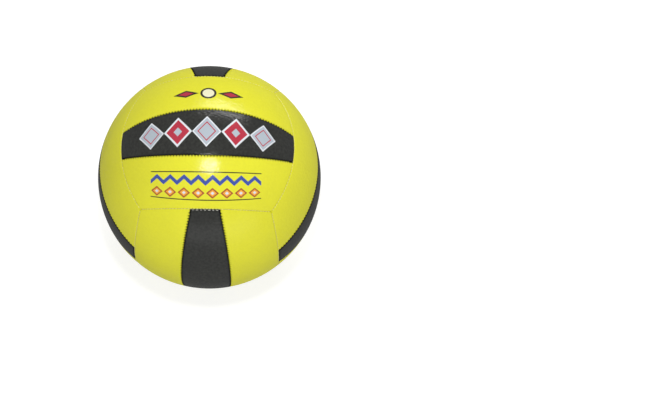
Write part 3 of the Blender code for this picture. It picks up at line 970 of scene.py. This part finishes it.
def leather(name, colour, faded, rubbed, painted_shade_colour, painted_seam_shades, worn_edges, ink=None):
    """PVC synthetic leather, embossed with a pebble grain and finished with a clear satin lacquer.

    The eye gets a saturated colour with faint clouds and rubbed spots, a soft highlight that the
    grain breaks up, and painted shade that darkens the seams' grooves and stitch holes. The lacquer
    gives all of the gloss, so the vinyl below has none of its own, and edges that have lost their
    lacquer are dull.
    """
    made, tree, shader = new_material(name)
    place = add_node(tree, "ShaderNodeTexCoord").outputs["Object"]
    clouds = add_node(
        tree, "ShaderNodeTexNoise", {"Vector": place, "Scale": 1 / CLOUD_WIDTH, "Detail": 3}
    ).outputs["Fac"]
    skin = add_node(
        tree,
        "ShaderNodeMix",
        {MIX_SHARE: clouds, MIX_FROM: srgb(colour), MIX_TO: srgb(faded)},
        data_type="RGBA",
    ).outputs[MIX_RESULT]
    spots = add_node(
        tree, "ShaderNodeTexNoise", {"Vector": place, "Scale": 1 / SPOT_WIDTH, "Detail": 2}
    ).outputs["Fac"]
    tone = add_node(
        tree,
        "ShaderNodeMapRange",
        {
            "Value": spots,
            "From Min": SPOT_RANGE[0],
            "From Max": SPOT_RANGE[1],
            "To Min": 1 - rubbed,
            "To Max": 1 + rubbed,
        },
    ).outputs[0]
    skin = add_node(
        tree, "ShaderNodeVectorMath", {0: skin, "Scale": tone}, operation="SCALE"
    ).outputs[0]
    if ink:
        skin = ink(tree, skin, place)
    # Painted shade: the colour darkens towards its shade colour in the grooves and round the holes.
    for attribute, strength in painted_seam_shades.items():
        reach = add_node(tree, "ShaderNodeAttribute", attribute_name=attribute).outputs["Fac"]
        share = add_node(
            tree, "ShaderNodeMath", {0: reach, 1: strength}, operation="MULTIPLY"
        ).outputs[0]
        skin = add_node(
            tree,
            "ShaderNodeMix",
            {MIX_SHARE: share, MIX_FROM: skin, MIX_TO: srgb(painted_shade_colour)},
            data_type="RGBA",
        ).outputs[MIX_RESULT]
    tree.links.new(skin, shader.inputs["Base Color"])

    cells = add_node(
        tree, "ShaderNodeTexVoronoi", {"Vector": place, "Scale": 1 / PEBBLE_WIDTH}
    ).outputs["Distance"]
    pebbles = add_node(
        tree, "ShaderNodeMath", {0: cells, 1: cells}, operation="MULTIPLY"
    ).outputs[0]
    creases = add_node(
        tree, "ShaderNodeTexNoise", {"Vector": place, "Scale": 1 / CREASE_WIDTH, "Detail": 2}
    ).outputs["Fac"]
    grain = add_node(
        tree,
        "ShaderNodeMath",
        {0: creases, 1: CREASE_SHARE, 2: pebbles},
        operation="MULTIPLY_ADD",
    ).outputs[0]
    embossed = add_node(
        tree,
        "ShaderNodeBump",
        {"Height": grain, "Strength": 1.0, "Distance": GRAIN_DEPTH},
        invert=True,
    ).outputs[0]
    tree.links.new(embossed, shader.inputs["Normal"])
    tree.links.new(embossed, shader.inputs["Coat Normal"])

    shader.inputs["Specular IOR Level"].default_value = 0.0
    shader.inputs["Roughness"].default_value = 0.5
    shader.inputs["Coat IOR"].default_value = LACQUER_IOR
    shader.inputs["Coat Roughness"].default_value = LACQUER_ROUGHNESS
    shader.inputs["Coat Weight"].default_value = LACQUER_WEIGHT
    if worn_edges:
        worn = add_node(tree, "ShaderNodeAttribute", attribute_name="painted_groove_shade").outputs["Fac"]
        lacquer = add_node(
            tree, "ShaderNodeMapRange", {"Value": worn, "To Min": LACQUER_WEIGHT, "To Max": 0.0}
        ).outputs[0]
        tree.links.new(lacquer, shader.inputs["Coat Weight"])
    return made


def polyester_thread():
    """Twisted polyester: matt, dyed to go with its seam, with slanted ply bands and painted shade
    between.
    """
    made, tree, shader = new_material("polyester_thread")
    place = add_node(tree, "ShaderNodeTexCoord").outputs["Object"]
    scale = 2 * math.pi / (WAVE_RADIANS * PLY_WIDTH)
    plies = add_node(
        tree,
        "ShaderNodeTexWave",
        {"Vector": place, "Scale": scale, "Distortion": 1.5},
        bands_direction="DIAGONAL",
    ).outputs["Fac"]
    dye = add_node(tree, "ShaderNodeAttribute", attribute_name="dye").outputs["Fac"]
    dyed = add_node(tree, "ShaderNodeValToRGB", {"Fac": dye})
    dyed.color_ramp.elements.new(STRAW_DYE)
    for element in dyed.color_ramp.elements:
        element.color = srgb(THREAD_COLOURS[element.position])
    # Painted shade: the thread's colour is darker in the valleys between its plies.
    shade = add_node(
        tree, "ShaderNodeMapRange", {"Value": plies, "To Min": PAINTED_PLY_SHADE, "To Max": 1.0}
    ).outputs[0]
    colour = add_node(
        tree,
        "ShaderNodeVectorMath",
        {0: dyed.outputs["Color"], "Scale": shade},
        operation="SCALE",
    ).outputs[0]
    tree.links.new(colour, shader.inputs["Base Color"])
    twist = add_node(
        tree, "ShaderNodeBump", {"Height": plies, "Strength": 0.6, "Distance": PLY_RELIEF}
    ).outputs[0]
    tree.links.new(twist, shader.inputs["Normal"])
    shader.inputs["Roughness"].default_value = 0.75
    shader.inputs["IOR"].default_value = 1.45
    return made


def polyurethane_foam():
    """Open-cell polyurethane foam: cream and quite matt, with painted shade in small cells in pale
    walls.
    """
    made, tree, shader = new_material("polyurethane_foam")
    place = add_node(tree, "ShaderNodeTexCoord").outputs["Object"]
    cells = add_node(
        tree, "ShaderNodeTexVoronoi", {"Vector": place, "Scale": 1 / FOAM_CELL}
    ).outputs["Distance"]
    # Painted shade: the colour is darker where the cells sink in.
    dark, light = [srgb(code) for code in FOAM_COLOURS]
    colour = add_node(
        tree,
        "ShaderNodeMix",
        {MIX_SHARE: cells, MIX_FROM: dark, MIX_TO: light},
        data_type="RGBA",
    ).outputs[MIX_RESULT]
    tree.links.new(colour, shader.inputs["Base Color"])
    pitted = add_node(
        tree, "ShaderNodeBump", {"Height": cells, "Strength": 0.8, "Distance": FOAM_RELIEF}
    ).outputs[0]
    tree.links.new(pitted, shader.inputs["Normal"])
    shader.inputs["Roughness"].default_value = 0.9
    return made


def black_rubber(name, colour, bloom, grit, roughness):
    """Moulded black rubber: satin, with a fine grit from the mould and clouds of greyish bloom."""
    made, tree, shader = new_material(name)
    place = add_node(tree, "ShaderNodeTexCoord").outputs["Object"]
    clouds = add_node(
        tree,
        "ShaderNodeTexNoise",
        {"Vector": place, "Scale": 1 / (BLOOM_WIDTH * grit), "Detail": 3},
    ).outputs["Fac"]
    bloomed = add_node(
        tree,
        "ShaderNodeMix",
        {MIX_SHARE: clouds, MIX_FROM: srgb(colour), MIX_TO: srgb(bloom)},
        data_type="RGBA",
    ).outputs[MIX_RESULT]
    tree.links.new(bloomed, shader.inputs["Base Color"])
    grains = add_node(
        tree, "ShaderNodeTexNoise", {"Vector": place, "Scale": 1 / grit, "Detail": 2}
    ).outputs["Fac"]
    satin = add_node(
        tree,
        "ShaderNodeMapRange",
        {
            "Value": grains,
            "To Min": roughness - ROUGHNESS_SPREAD,
            "To Max": roughness + ROUGHNESS_SPREAD,
        },
    ).outputs[0]
    tree.links.new(satin, shader.inputs["Roughness"])
    gritty = add_node(
        tree, "ShaderNodeBump", {"Height": grains, "Strength": 0.5, "Distance": GRIT_RELIEF * grit}
    ).outputs[0]
    tree.links.new(gritty, shader.inputs["Normal"])
    shader.inputs["IOR"].default_value = 1.52
    return made


def cotton_cloth():
    """Plain-woven cotton: matt, with raised threads that cross in the plane of the patch, shade
    painted between.
    """
    made, tree, shader = new_material("cotton_cloth")
    place = add_node(tree, "ShaderNodeTexCoord").outputs["Object"]
    patch_turn = math.atan2(VALVE_AXIS.x, VALVE_AXIS.y)
    flat = add_node(
        tree, "ShaderNodeMapping", {"Vector": place, "Rotation": (0, 0, patch_turn)}
    ).outputs[0]
    scale = 2 * math.pi / (WAVE_RADIANS * CLOTH_THREAD)
    warp, weft = [
        add_node(
            tree, "ShaderNodeTexWave", {"Vector": flat, "Scale": scale}, bands_direction=direction
        ).outputs["Fac"]
        for direction in ("X", "Z")
    ]
    weave = add_node(tree, "ShaderNodeMath", {0: warp, 1: weft}, operation="MULTIPLY").outputs[0]
    # Painted shade: the colour is darker in the gaps between the raised threads.
    dark, light = [srgb(code) for code in CLOTH_COLOURS]
    colour = add_node(
        tree,
        "ShaderNodeMix",
        {MIX_SHARE: weave, MIX_FROM: dark, MIX_TO: light},
        data_type="RGBA",
    ).outputs[MIX_RESULT]
    tree.links.new(colour, shader.inputs["Base Color"])
    raised = add_node(
        tree, "ShaderNodeBump", {"Height": weave, "Strength": 0.7, "Distance": CLOTH_RELIEF}
    ).outputs[0]
    tree.links.new(raised, shader.inputs["Normal"])
    shader.inputs["Roughness"].default_value = 0.85
    return made


def dress_inside():
    """Finishes of the solids that stay: foam backings, bladder and valve patch."""
    butyl = black_rubber(
        "butyl_rubber", colour="#17171a", bloom="#2b2b2e", grit=1.5 * MM, roughness=0.4
    )
    inside = {"bladder": butyl, "valve_patch": cotton_cloth()}
    foam = polyurethane_foam()
    for face, (_, _, strips) in FACES.items():
        for strip in strips:
            inside[f"{face}_{strip}_foam"] = foam
    for node, finish in inside.items():
        frame["nodes"][node].material_slots[0].material = finish


# Studio.


def add_camera():
    """A long lens at the photograph's angle, aimed so that the ball sits where it does there."""
    focal_pixels = BALL_PIXEL_RADIUS * math.sqrt((CAMERA_DISTANCE / BALL_RADIUS) ** 2 - 1)
    right = CAMERA_UP.cross(TO_CAMERA).normalized()
    up = TO_CAMERA.cross(right)
    pixel = CAMERA_DISTANCE / focal_pixels
    aim = right * (FRAME_WIDTH / 2 - BALL_PIXEL[0]) * pixel
    aim -= up * (FRAME_HEIGHT / 2 - BALL_PIXEL[1]) * pixel
    place = TO_CAMERA * CAMERA_DISTANCE
    back = (place - aim).normalized()
    right = up.cross(back).normalized()
    up = back.cross(right)
    turn = Matrix((right, up, back)).transposed().to_4x4()
    data = bpy.data.cameras.new("camera")
    data.sensor_width = SENSOR_WIDTH
    data.lens = focal_pixels * SENSOR_WIDTH / FRAME_WIDTH
    camera = bpy.data.objects.new("camera", data)
    bpy.context.scene.collection.objects.link(camera)
    camera.matrix_world = Matrix.Translation(place) @ turn
    bpy.context.scene.camera = camera


def add_soft_box(name, towards, distance, size, power):
    """A soft box of that width and height that faces the ball."""
    data = bpy.data.lights.new(name, "AREA")
    data.shape = "RECTANGLE"
    data.size, data.size_y = size
    data.energy = power
    lamp = bpy.data.objects.new(name, data)
    bpy.context.scene.collection.objects.link(lamp)
    lamp.location = towards.normalized() * distance
    lamp.rotation_euler = towards.to_track_quat("Z", "Y").to_euler()


def seen_rays(tree):
    """1 for rays from the camera, and for those that gloss or glass sends on."""
    path = add_node(tree, "ShaderNodeLightPath").outputs
    seen = path["Is Camera Ray"]
    for ray in ("Is Glossy Ray", "Is Transmission Ray"):
        seen = add_node(
            tree, "ShaderNodeMath", {0: seen, 1: path[ray]}, operation="MAXIMUM"
        ).outputs[0]
    return seen


def add_light():
    """Soft boxes above the camera, behind the ball and in front of it, and a room around them.

    The room is lighter towards the front, and plain white where it is seen.
    """
    for name, (towards, distance, size, power) in SOFT_BOXES.items():
        add_soft_box(name, towards, distance, size, power)
    world = bpy.data.worlds.new("studio")
    bpy.context.scene.world = world
    world.use_nodes = True
    tree = world.node_tree
    tree.nodes.clear()
    towards = add_node(tree, "ShaderNodeTexCoord").outputs["Generated"]
    facing = add_node(
        tree,
        "ShaderNodeVectorMath",
        {0: towards, 1: ROOM_LIGHT_SIDE.normalized()},
        operation="DOT_PRODUCT",
    ).outputs["Value"]
    level = add_node(
        tree,
        "ShaderNodeMath",
        {0: facing, 1: ROOM_SLOPE, 2: ROOM_LEVEL},
        operation="MULTIPLY_ADD",
    ).outputs[0]
    room = add_node(tree, "ShaderNodeBackground", {"Color": srgb(WHITE), "Strength": level})
    white = add_node(tree, "ShaderNodeBackground", {"Color": srgb(WHITE), "Strength": 1.0})
    mixed = add_node(
        tree,
        "ShaderNodeMixShader",
        {0: seen_rays(tree), 1: room.outputs[0], 2: white.outputs[0]},
    )
    add_node(tree, "ShaderNodeOutputWorld", {"Surface": mixed.outputs[0]})


def add_floor():
    """White studio paper: matt, plain white to the camera, with the ball's soft shadow on it."""
    bpy.ops.object.select_all(action="DESELECT")
    bpy.ops.mesh.primitive_plane_add(
        size=FLOOR_SIZE, location=(0, 0, CAD_BOX[0].z - FLOOR_GAP)
    )
    floor = bpy.context.object
    floor.name = "floor"
    made, tree, shader = new_material("white_paper")
    shader.inputs["Base Color"].default_value = srgb(FLOOR_GREY)
    shader.inputs["Roughness"].default_value = 0.9
    glow = add_node(tree, "ShaderNodeEmission", {"Color": srgb(WHITE), "Strength": FLOOR_GLOW})
    both = add_node(tree, "ShaderNodeAddShader", {0: shader.outputs[0], 1: glow.outputs[0]})
    mixed = add_node(
        tree,
        "ShaderNodeMixShader",
        {0: seen_rays(tree), 1: shader.outputs[0], 2: both.outputs[0]},
    )
    tree.links.new(mixed.outputs[0], tree.nodes["Material Output"].inputs["Surface"])
    floor.data.materials.append(made)


bpy.context.scene.view_settings.view_transform = "Standard"
add_camera()
add_light()
add_floor()

panel_finishes = {
    "charcoal_skin": leather("charcoal_pvc_leather", **CHARCOAL),
    "yellow_skin": leather("yellow_pvc_leather", **YELLOW),
    ("top", "middle"): leather("charcoal_pvc_leather_lozenges", **CHARCOAL, ink=lozenge_print),
    ("top", "front"): leather("yellow_pvc_leather_border", **YELLOW, ink=border_print),
    ("top", "rear"): leather("yellow_pvc_leather_disc", **YELLOW, ink=disc_print),
}
panels = add_panels(panel_finishes)
open_valve_hole(panels[VALVE_PANEL])
add_stitches(polyester_thread())
valve_rubber = black_rubber(
    "valve_rubber", colour="#1c1c1f", bloom="#2c2c2f", grit=0.6 * MM, roughness=0.5
)
add_valve(valve_rubber)
dress_inside()
